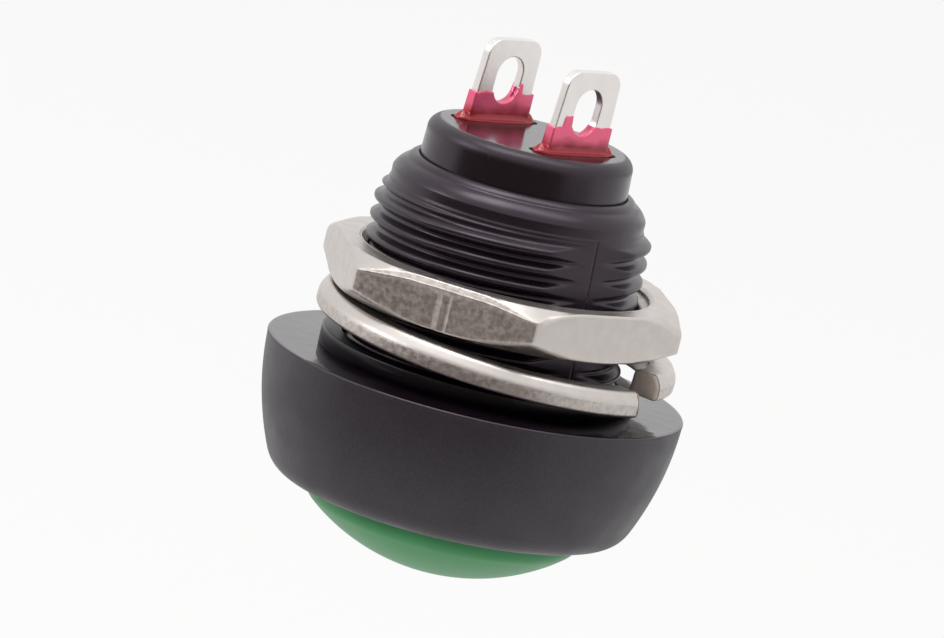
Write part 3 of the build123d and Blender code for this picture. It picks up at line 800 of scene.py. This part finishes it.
# The scored flat keeps the die's torn surface from the front chamfer's edge to the rear one's.
row_r = radius.max(-1)
on_flat = (row_r > hexagon.max() - 0.1) & (np.roll(row_r, -1) > hexagon.max() - 0.1)
skin(
    "hexagon_nut",
    grid,
    [nickel, torn_nickel],
    "nut",
    ["hex_nut"],
    choice=on_flat[:, None] & (away < np.radians(30)),
)

# ------------------------------------------------------------------
# Rear base. A black moulded plug under the bush's lip, with a slot and a shallow well for each
# terminal in its polished end face, and a round well inside for the return spring.
BASE_TOP_Z = 10.45
BASE_TOP_R = 4.42
BASE_BOSS_R = 4.465
BASE_FLANGE_R = 4.68
FLANGE_Z = 6.80
FLANGE_TOP_Z = 8.15
BASE_EASE = 0.55
SPRING_WELL_R = 1.65
SPRING_WELL_TOP_Z = 8.70
TERMINAL_TURN = np.radians(-43.6)
BLADE_OFFSET = 2.43
WELL_LENGTH = 4.70
WELL_WIDTH = 0.95
WELL_DEPTH = 0.50
WELL_EDGE = 0.07

# Moulded phenolic, jet black: polished flat on the end face, so that the lugs mirror in it at a
# low angle, with a light haze and small waves, and satin on the brow and sides.
PLUG_WAVE = 1.1
PLUG_HAZE = 0.14
phenolic, tree, place = patterned_material("jet_black_phenolic_polished_moulding")
wave = add(tree, "ShaderNodeTexNoise", {"Vector": place, "Scale": 1 / (PLUG_WAVE * MM), "Detail": 1.0})
haze = add(tree, "ShaderNodeTexNoise", {"Vector": place, "Scale": 1 / (PLUG_HAZE * MM), "Detail": 3.0})
sheen_spread = add(
    tree,
    "ShaderNodeMapRange",
    {"Value": haze, "From Min": 0.3, "From Max": 0.7, "To Min": 0.10, "To Max": 0.18},
)
level_z = add(tree, "ShaderNodeSeparateXYZ", {"Vector": place}, output="Z")
below_face = add(tree, "ShaderNodeMath", {0: BASE_TOP_Z * MM, 1: level_z}, operation="SUBTRACT")
on_side = add(
    tree, "ShaderNodeMapRange", {"Value": below_face, "From Min": 0.002 * MM, "From Max": 0.02 * MM}
)
brow_low, brow_high = 0.65 * MM, 0.45 * MM
satin = add(
    tree,
    "ShaderNodeMapRange",
    {"Value": below_face, "From Min": brow_low, "From Max": brow_high, "To Min": 0.08, "To Max": 0.26},
)
sheen_spread = add(
    tree, "ShaderNodeMath", {0: on_side, 1: satin, 2: sheen_spread}, operation="MULTIPLY_ADD"
)
bumps = add(tree, "ShaderNodeBump", {"Height": wave, "Strength": 0.15, "Distance": 0.05 * MM})
plug = add(
    tree,
    "ShaderNodeBsdfPrincipled",
    {
        "Base Color": linear("0f0a0e"),
        "Roughness": sheen_spread,
        "IOR": 1.55,
        "Specular Tint": linear(BLACK_SHEEN),
        "Normal": bumps,
    },
)
add(tree, "ShaderNodeOutputMaterial", {"Surface": plug})


def to_terminals(x, y):
    """Turns points drawn with the blades facing along X to the terminals' real turn."""
    c, s = np.cos(TERMINAL_TURN), np.sin(TERMINAL_TURN)
    return x * c - y * s, x * s + y * c


def from_stadium(x, y, length, width):
    """Distance outside a slot with round ends that lies along Y, negative inside it."""
    straight = (length - width) / 2
    return np.hypot(x, np.maximum(np.abs(y) - straight, 0)) - width / 2


face_r = np.linspace(0, BASE_TOP_R - BASE_EASE - 0.02, 105)
bend = np.linspace(0, np.pi / 2, 15)
brow = BASE_EASE * np.stack([np.sin(bend) - 1, np.cos(bend) - 1], -1) + (BASE_TOP_R, BASE_TOP_Z)
outline = np.concatenate(
    [
        np.stack([face_r, np.full(105, BASE_TOP_Z)], -1),
        brow,
        [(BASE_BOSS_R, LIP_CORNER[1]), (BASE_BOSS_R, FLANGE_TOP_Z)],
        [(BASE_FLANGE_R, FLANGE_TOP_Z), (BASE_FLANGE_R, FLANGE_Z), (SPRING_WELL_R, FLANGE_Z)],
        [(SPRING_WELL_R, SPRING_WELL_TOP_Z), (0.0, SPRING_WELL_TOP_Z)],
    ]
)
ease = np.zeros(len(outline))
ease[120:-1] = [0.3, 0.04, 0.04, 0.04, 0.04, 0.04]
outline = eased(outline, ease, steps=8)
grid = turned(outline, whole_turn(360))
on_face = (outline[:, 0] < BASE_TOP_R - BASE_EASE) & (outline[:, 1] > BASE_TOP_Z - 0.01)
x, y = grid[..., 0], grid[..., 1]
for way in (1, -1):
    middle_x, middle_y = to_terminals(way * BLADE_OFFSET, 0)
    c, s = np.cos(TERMINAL_TURN), np.sin(TERMINAL_TURN)
    aside, ahead = x - middle_x, y - middle_y
    local_x, local_y = aside * c + ahead * s, ahead * c - aside * s
    outside = from_stadium(local_x, local_y, WELL_LENGTH, WELL_WIDTH)
    sunk = WELL_DEPTH * smoothstep((WELL_EDGE / 2 - outside) / WELL_EDGE)
    grid[on_face, :, 2] -= sunk[on_face]
skin("base_plug", grid, [phenolic], "bushing", ["terminal_base"])

# ------------------------------------------------------------------
# Terminals. Two solder lugs stamped from 0.4 mm strip and silver plated, each bent outward under
# the base into a foot for its contact. Stamping rounds their edges on the punch's side.
BLADE_T = 0.40
FOOT_END = 3.86
FOOT_Z = 6.60  # middle of the strip
BEND_R = 0.20
BLADE_LEAN = np.radians(3)
BLADE_TOP_Z = 14.04
FOOT_HALF = 1.30
SHANK_HALF = 1.68
TIP_HALF = 1.51
TIP_CORNER = 0.65
SLOT_FROM_TIP = 1.80
SLOT_HALF_WIDTH = 0.75
SLOT_HALF_LENGTH = 1.05
BLADE_EASE = 0.045

# Silver plate on brass strip: pale and satin, with fine scratches along the strip from rolling and
# handling, and soft yellowish-grey patches where it has begun to tarnish. The real scratches are
# finer, and are made this coarse to show.
SCRATCH = (0.05, 5 / 12, 2.0, 0.5)
TARNISH = (0.9, 0.9, 3.0, 0.5)
silver = flecked_material(
    "silver_plate_on_stamped_brass",
    colour=(TARNISH, 0, 1, "ebe7e5", "e0dbd7"),
    rough=(SCRATCH, 0.3, 0.7, 0.30, 0.38),
    relief=(SCRATCH, 0.15, 0.01),
    surface={"Metallic": 1.0},
)

foot_run = FOOT_END - BLADE_OFFSET - BEND_R
bend_run = BEND_R * np.pi / 2
shank_run = BASE_TOP_Z - FOOT_Z - BEND_R
tip_run = (BLADE_TOP_Z - BASE_TOP_Z) / np.cos(BLADE_LEAN)
bend_end = foot_run + bend_run
kink = bend_end + shank_run
tip = kink + tip_run
slot_middle = kink + (BLADE_TOP_Z - BASE_TOP_Z - SLOT_FROM_TIP) / np.cos(BLADE_LEAN)


def strip_path(along, lean):
    """Middle line of the bent strip. The heading turns from inward to upward over the bend and leans
    over after the kink; the place is its running sum. Returns x, z and the heading."""
    steps = np.linspace(0, tip, 4001)
    heading = np.pi - np.pi / 2 * np.clip((steps - foot_run) / bend_run, 0, 1)
    heading -= lean * np.clip((steps - kink) / 0.15 + 0.5, 0, 1)
    travel = np.diff(steps, prepend=0)
    x = FOOT_END + np.cumsum(np.cos(heading) * travel)
    z = FOOT_Z + np.cumsum(np.sin(heading) * travel)
    return tuple(np.interp(along, steps, values) for values in (x, z, heading))


def around_slot(outline, angles):
    """Distance from the slot's middle to a closed outline in each direction."""
    closed = np.concatenate([outline, outline[:1]])
    fine = np.linspace(0, len(outline), 6000, endpoint=False)
    x = np.interp(fine, np.arange(len(closed)), closed[:, 0]) - slot_middle
    y = np.interp(fine, np.arange(len(closed)), closed[:, 1])
    order = np.argsort(np.arctan2(y, x))
    return np.interp(
        angles, np.arctan2(y, x)[order], np.hypot(x, y)[order], period=2 * np.pi
    )


blank = eased(
    [
        (0, -FOOT_HALF),
        (bend_end, -FOOT_HALF),
        (bend_end, -SHANK_HALF),
        (kink, -SHANK_HALF),
        (tip, -TIP_HALF),
        (tip, TIP_HALF),
        (kink, SHANK_HALF),
        (bend_end, SHANK_HALF),
        (bend_end, FOOT_HALF),
        (0, FOOT_HALF),
    ],
    [0.05, 0.03, 0.1, 0, TIP_CORNER, TIP_CORNER, 0, 0.1, 0.03, 0.05],
    runs=[8, 0, 40, 40, 20, 40, 40, 0, 8, 16],
    steps=12,
)
bearing = np.arctan2(blank[:, 1], blank[:, 0] - slot_middle)
angles = np.unique(np.round(np.concatenate([bearing, np.linspace(-np.pi, np.pi, 180)]), 5))[:-1]
ends = SLOT_HALF_LENGTH - SLOT_HALF_WIDTH
cosine, sine = np.abs(np.cos(angles)), np.abs(np.sin(angles))
# The slot's edge: on its straight sides half the width over sin a, on its round ends the circle's
# distance along the ray.
on_side = SLOT_HALF_WIDTH / np.maximum(sine, 1e-6)
on_end = ends * cosine + np.sqrt(np.maximum(SLOT_HALF_WIDTH**2 - (ends * sine) ** 2, 0))
slot_edge = np.where(on_side * cosine < ends, on_side, on_end)
blank_edge = around_slot(blank, angles)
section = eased(
    [
        (slot_edge, -BLADE_T / 2),
        (blank_edge, -BLADE_T / 2),
        (blank_edge, BLADE_T / 2),
        (slot_edge, BLADE_T / 2),
    ],
    BLADE_EASE,
    runs=[44, 1, 44, 1],
)
distance, depth = section[..., 0], section[..., 1]
along = slot_middle + distance * np.cos(angles)
width = distance * np.sin(angles)
for name, way in (("left", -1), ("right", 1)):
    x, z, heading = strip_path(along, way * BLADE_LEAN)
    x, y = to_terminals(way * (x + depth * np.sin(heading)), width)
    lug = np.stack([x, y, z - depth * np.cos(heading)], -1)
    node = "terminal_" + name
    skin("lug_" + name, lug, [silver], "bushing", [node])

# ------------------------------------------------------------------
# Sealing resin. A clear red epoxy poured in the wells round the lugs. It sets proud of the wells,
# creeps up the lugs as a thin glossy film and stops in an uneven line just above the slot's foot.
RESIN_LENGTH = 4.50
RESIN_PROUD = 0.05
MENISCUS = 0.22
FILM_T = 0.05
FILM_THINNING = 0.35  # share of its thickness that it loses on the way up
FILM_WAVE = 0.02
BEAD_HEIGHT = 0.28
BEAD_FROM_MIDDLE = 1.98
BEAD_HALF = (0.42, 0.34)  # its reach across the lug and along it
POOL_SIDE = 0.98  # share of the pool's length that the lug's broad faces look at

# Cured epoxy with a red dye: glossy. Deep red where it fills the well, and bright pinkish red up
# the lug, where it is thin and the plating shines through; so it turns metallic with height.
RIPPLE = 0.6
THIN_FROM_Z = 10.95
THIN_Z = 11.45
resin, tree, place = patterned_material("clear_red_epoxy_cured")
ripple = add(tree, "ShaderNodeTexNoise", {"Vector": place, "Scale": 1 / (RIPPLE * MM), "Detail": 1.0})
level_z = add(tree, "ShaderNodeSeparateXYZ", {"Vector": place}, output="Z")
wavy_z = add(tree, "ShaderNodeMath", {0: ripple, 1: 0.5 * MM, 2: level_z}, operation="MULTIPLY_ADD")
thin_part = {"Value": wavy_z, "From Min": THIN_FROM_Z * MM, "From Max": THIN_Z * MM}
thin = add(tree, "ShaderNodeMapRange", thin_part)
shades = {0: thin, 6: linear("a80a20"), 7: linear("f2668a")}
colour = add(tree, "ShaderNodeMix", shades, data_type="RGBA", output=2)
shine = add(tree, "ShaderNodeMath", {0: thin, 1: 0.45}, operation="MULTIPLY")
bumps = add(tree, "ShaderNodeBump", {"Height": ripple, "Strength": 0.3, "Distance": 0.06 * MM})
epoxy = add(
    tree,
    "ShaderNodeBsdfPrincipled",
    {"Base Color": colour, "Metallic": shine, "Roughness": 0.20, "IOR": 1.54, "Normal": bumps},
)
add(tree, "ShaderNodeOutputMaterial", {"Surface": epoxy})

# One loop round the lug, and one round the pool with a point for each of the first's. Its outline
# is |x / a|^3 + |y / b|^3 = 1.
long_way = np.linspace(-1, 1, 91)[:-1]
short_way = np.linspace(-1, 1, 13)[:-1]
loop_x = np.concatenate([0 * long_way + 1, -short_way, 0 * long_way - 1, short_way])
loop_y = np.concatenate([long_way, 0 * short_way + 1, -long_way, 0 * short_way - 1])
blade_x, blade_y = loop_x * BLADE_T / 2, loop_y * SHANK_HALF
on_long = np.abs(loop_x) > 0.999
long_y = np.where(on_long, loop_y * POOL_SIDE, POOL_SIDE)
pool_x = loop_x * np.cbrt(1 - np.abs(long_y) ** 3)
pool_y = np.where(on_long, long_y, loop_y * np.cbrt(1 - np.abs(pool_x) ** 3))
pool_x, pool_y = pool_x * WELL_WIDTH / 2, pool_y * RESIN_LENGTH / 2
out_x = np.where(on_long, loop_x, 0)
out_y = np.where(np.abs(loop_y) > 0.999, loop_y, 0)


def plateau(place, start, end, edge):
    """1 between start and end, 0 outside them, with soft steps."""
    return smoothstep((place - start) / edge + 0.5) * smoothstep((end - place) / edge + 0.5)


# Where the film ends up each lug, along its width: its level, and tongues that crept higher.
film_tops = {
    "left": (11.66, (0.06, -1.5, -0.7, 0.1), (0.45, 0.72, 0.97, 0.12)),
    "right": (11.58, (0.50, -1.21, -0.74, 0.08), (0.05, 0.4, 2, 0.2)),
}
slot_end = np.sqrt(np.maximum(SLOT_HALF_WIDTH**2 - blade_y**2, 0))
slot_foot = BLADE_TOP_Z - SLOT_FROM_TIP - ends - slot_end
in_slot = np.abs(blade_y) < SLOT_HALF_WIDTH
for name, way in (("left", -1), ("right", 1)):
    film_top, *tongues = film_tops[name]
    for rise, start, end, edge in tongues:
        film_top = film_top + rise * plateau(blade_y, start, end, edge)
    film_top = film_top + FILM_WAVE * np.sin(9 * blade_y + way)
    film_top = np.where(in_slot, np.minimum(film_top, slot_foot + 0.03), film_top)
    rows = []
    for depth, spread in ((WELL_DEPTH, 0), (WELL_DEPTH, 0.9), (WELL_DEPTH - 0.05, 1), (0.02, 1)):
        rows.append((pool_x * spread, pool_y * spread, BASE_TOP_Z - depth + 0 * pool_x))
    for share in np.linspace(0, 1, 14):
        closeness = (smoothstep(share) + share) / 2
        x = pool_x + (blade_x + out_x * FILM_T - pool_x) * closeness
        y = pool_y + (blade_y + out_y * FILM_T - pool_y) * closeness
        bead = np.hypot(x / BEAD_HALF[0], (np.abs(y) - BEAD_FROM_MIDDLE) / BEAD_HALF[1])
        rise = MENISCUS * share**3 + BEAD_HEIGHT * smoothstep(1 - bead)
        rows.append((x, y, BASE_TOP_Z + RESIN_PROUD + rise))
    foot = BASE_TOP_Z + RESIN_PROUD + MENISCUS
    for share in np.linspace(0.06, 1, 16):
        thickness = FILM_T * (1 - FILM_THINNING * share)
        x, y = blade_x + out_x * thickness, blade_y + out_y * thickness
        rows.append((x, y, foot + (film_top - foot) * share))
    rows.append((blade_x + out_x * FILM_T * 0.3, blade_y + out_y * FILM_T * 0.3, film_top + 0.02))
    rows.append((blade_x * 0, blade_y, film_top + 0.02))
    shape = np.array(rows)
    lean = np.maximum(0, shape[:, 2] - BASE_TOP_Z) * np.tan(BLADE_LEAN)
    x, y = to_terminals(way * BLADE_OFFSET + lean + shape[:, 0], shape[:, 1])
    resin_grid = np.stack([x, y, shape[:, 2]], -1)
    skin("resin_" + name, resin_grid, [resin], "bushing", ["sealant_" + name])

# ------------------------------------------------------------------
# Springs. Both are wound from round stainless wire, close to the axis: the return spring pushes
# the stem out, and the contact spring loads the contact disc. They shorten as the button goes in,
# but each is drawn here at one length.


def coil(name, radius, wire, turns, low, high, body, node):
    """Round wire on a helix: the centre line runs at this radius from low to high, and its ends
    round off to a point."""
    climb_angle = np.arctan2(high - low - wire, 2 * np.pi * radius * turns)
    swept = np.linspace(0, 2 * np.pi * turns, 90 * int(turns + 1))
    sizes = np.sqrt(np.clip(np.minimum(swept, swept[::-1]) * radius / wire * 2, 0, 1))
    around_wire = np.linspace(0, 2 * np.pi, 16, endpoint=False)[:, None]
    outward = np.cos(around_wire) * wire / 2 * sizes
    upright = np.sin(around_wire) * wire / 2 * sizes
    reach = radius + outward
    tilt = upright * np.sin(climb_angle)
    x = reach * np.cos(swept) + tilt * np.sin(swept)
    y = reach * np.sin(swept) - tilt * np.cos(swept)
    z = low + wire / 2 + (high - low - wire) * swept / swept[-1] + upright * np.cos(climb_angle)
    grid = np.stack([x, y, z], -1)
    return skin(name, grid, [drawn_wire], body, [node], endless=False)


# Drawn stainless wire: bright, with fine draw marks, made coarser than the real ones to show.
DRAW_MARK = (0.04, 0.04, 2.0, 0.5)
drawn_wire = flecked_material(
    "stainless_wire_drawn",
    colour=(DRAW_MARK, 0, 1, "bdbab6", "bdbab6"),
    rough=(DRAW_MARK, 0, 1, 0.18, 0.34),
    surface={"Metallic": 1.0},
)

for name, radius, wire, turns, low, high, body, node, keep in (
    ("coil_return", 1.15, 0.28, 4.5, 5.47, 8.65, "bushing", "return_spring", 0.497),
    ("coil_contact", 1.40, 0.25, 3.5, 2.60, 4.70, "contact", "contact_spring", 0.695),
):
    spring = coil(name, radius, wire, turns, low, high, body, node)
    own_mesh(spring)

# ------------------------------------------------------------------
# Inner pieces. They sit closed up in the bush: the acetal stem with its rubber seals, two
# stainless rings, the bronze contact disc and the silver contact rivets. Their specks are made
# coarser than the real marks of turning, stamping and rolling.
FIXED_CONTACTS = ["fixed_contact_left", "fixed_contact_right"]
for name, nodes, code, metallic, smooth, rough, speck in (
    ("acetal_turned_natural", ["plunger"], "dedacc", 0.0, 0.22, 0.34, 0.25),
    ("nitrile_rubber_moulded", ["plunger_seal", "base_gasket"], "1a181b", 0.0, 0.34, 0.48, 0.12),
    ("stainless_stamped", ["seal_retainer", "disc_retainer"], "b9b6b1", 1.0, 0.22, 0.36, 0.08),
    ("phosphor_bronze_rolled", ["contact_disc"], "c39a66", 1.0, 0.20, 0.34, 0.10),
    ("fine_silver_cold_headed", FIXED_CONTACTS, "dcd8d2", 1.0, 0.16, 0.30, 0.06),
):
    specks = (speck, speck, 3.0, 0.5)
    material = flecked_material(
        name,
        colour=(specks, 0, 1, code, code),
        rough=(specks, 0, 1, smooth, rough),
        relief=(specks, 0.15, 0.01),
        surface={"Metallic": metallic},
    )
    for node in nodes:
        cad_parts[node].data.materials.clear()
        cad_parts[node].data.materials.append(material)
